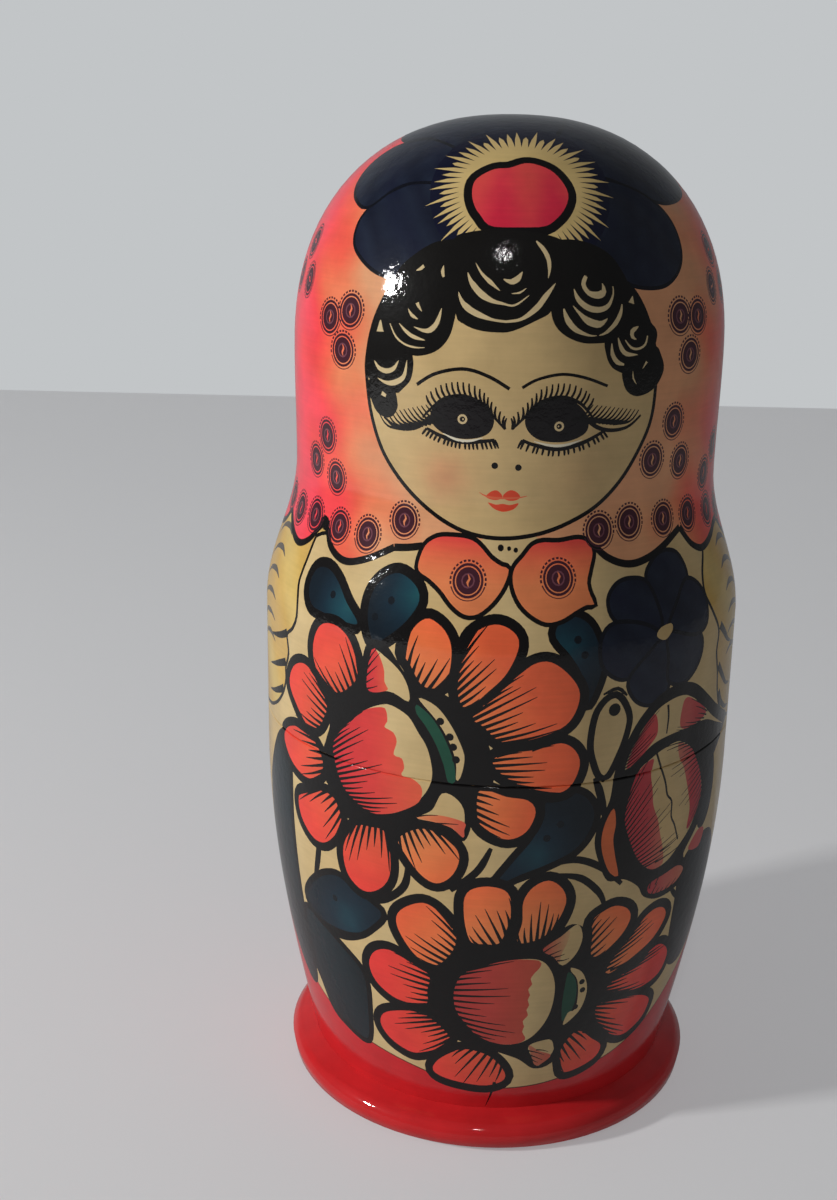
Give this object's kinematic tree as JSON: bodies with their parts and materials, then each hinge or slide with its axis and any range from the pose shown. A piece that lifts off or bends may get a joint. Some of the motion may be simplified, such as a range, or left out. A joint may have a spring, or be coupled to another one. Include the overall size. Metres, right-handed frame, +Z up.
{
  "type": "nesting doll",
  "caption": "Painted turned-wood nesting doll: hollow dolls that part at the waist on a lip and socket, each holding a smaller one, around a solid smallest doll.",
  "frame": {"origin": "centre of the flat underside of the largest doll's foot, on the table", "axes": "+Z up along the turning axis, the painted face looks along -Y"},
  "size_m": [0.1158, 0.1158, 0.24],
  "materials": {
    "painted_upper_half": "aniline dye and black ink on limewood under gloss varnish",
    "painted_lower_half": "aniline dye and black ink on limewood under gloss varnish",
    "painted_smallest_doll": "aniline dye and black ink on limewood under gloss varnish"
  },
  "bodies": {
    "doll_1_lower_half": {"doll_1_lower_half": "painted_lower_half"},
    "doll_2_lower_half": {"doll_2_lower_half": "painted_lower_half"},
    "doll_3_lower_half": {"doll_3_lower_half": "painted_lower_half"},
    "doll_4_lower_half": {"doll_4_lower_half": "painted_lower_half"},
    "doll_5_lower_half": {"doll_5_lower_half": "painted_lower_half"},
    "doll_6_lower_half": {"doll_6_lower_half": "painted_lower_half"},
    "doll_7_solid": {"doll_7_solid": "painted_smallest_doll"},
    "doll_6_upper_half": {"doll_6_upper_half": "painted_upper_half"},
    "doll_5_upper_half": {"doll_5_upper_half": "painted_upper_half"},
    "doll_4_upper_half": {"doll_4_upper_half": "painted_upper_half"},
    "doll_3_upper_half": {"doll_3_upper_half": "painted_upper_half"},
    "doll_2_upper_half": {"doll_2_upper_half": "painted_upper_half"},
    "doll_1_upper_half": {"doll_1_upper_half": "painted_upper_half"}
  },
  "joints": [
    {"name": "doll_2_lift_out", "type": "slide", "parent": "doll_1_lower_half", "child": "doll_2_lower_half", "axis": [0, 0, 1], "range_m": [0, 0.105]},
    {"name": "doll_3_lift_out", "type": "slide", "parent": "doll_2_lower_half", "child": "doll_3_lower_half", "axis": [0, 0, 1], "range_m": [0, 0.088]},
    {"name": "doll_4_lift_out", "type": "slide", "parent": "doll_3_lower_half", "child": "doll_4_lower_half", "axis": [0, 0, 1], "range_m": [0, 0.073]},
    {"name": "doll_5_lift_out", "type": "slide", "parent": "doll_4_lower_half", "child": "doll_5_lower_half", "axis": [0, 0, 1], "range_m": [0, 0.059]},
    {"name": "doll_6_lift_out", "type": "slide", "parent": "doll_5_lower_half", "child": "doll_6_lower_half", "axis": [0, 0, 1], "range_m": [0, 0.046]},
    {"name": "doll_7_lift_out", "type": "slide", "parent": "doll_6_lower_half", "child": "doll_7_solid", "axis": [0, 0, 1], "range_m": [0, 0.035]},
    {"name": "doll_6_open", "type": "slide", "parent": "doll_7_solid", "child": "doll_6_upper_half", "axis": [0, 0, 1], "range_m": [0, 0.032]},
    {"name": "doll_5_open", "type": "slide", "parent": "doll_6_upper_half", "child": "doll_5_upper_half", "axis": [0, 0, 1], "range_m": [0, 0.046]},
    {"name": "doll_4_open", "type": "slide", "parent": "doll_5_upper_half", "child": "doll_4_upper_half", "axis": [0, 0, 1], "range_m": [0, 0.062]},
    {"name": "doll_3_open", "type": "slide", "parent": "doll_4_upper_half", "child": "doll_3_upper_half", "axis": [0, 0, 1], "range_m": [0, 0.079]},
    {"name": "doll_2_open", "type": "slide", "parent": "doll_3_upper_half", "child": "doll_2_upper_half", "axis": [0, 0, 1], "range_m": [0, 0.098]},
    {"name": "doll_1_open", "type": "slide", "parent": "doll_2_upper_half", "child": "doll_1_upper_half", "axis": [0, 0, 1], "range_m": [0, 0.12]}
  ]
}
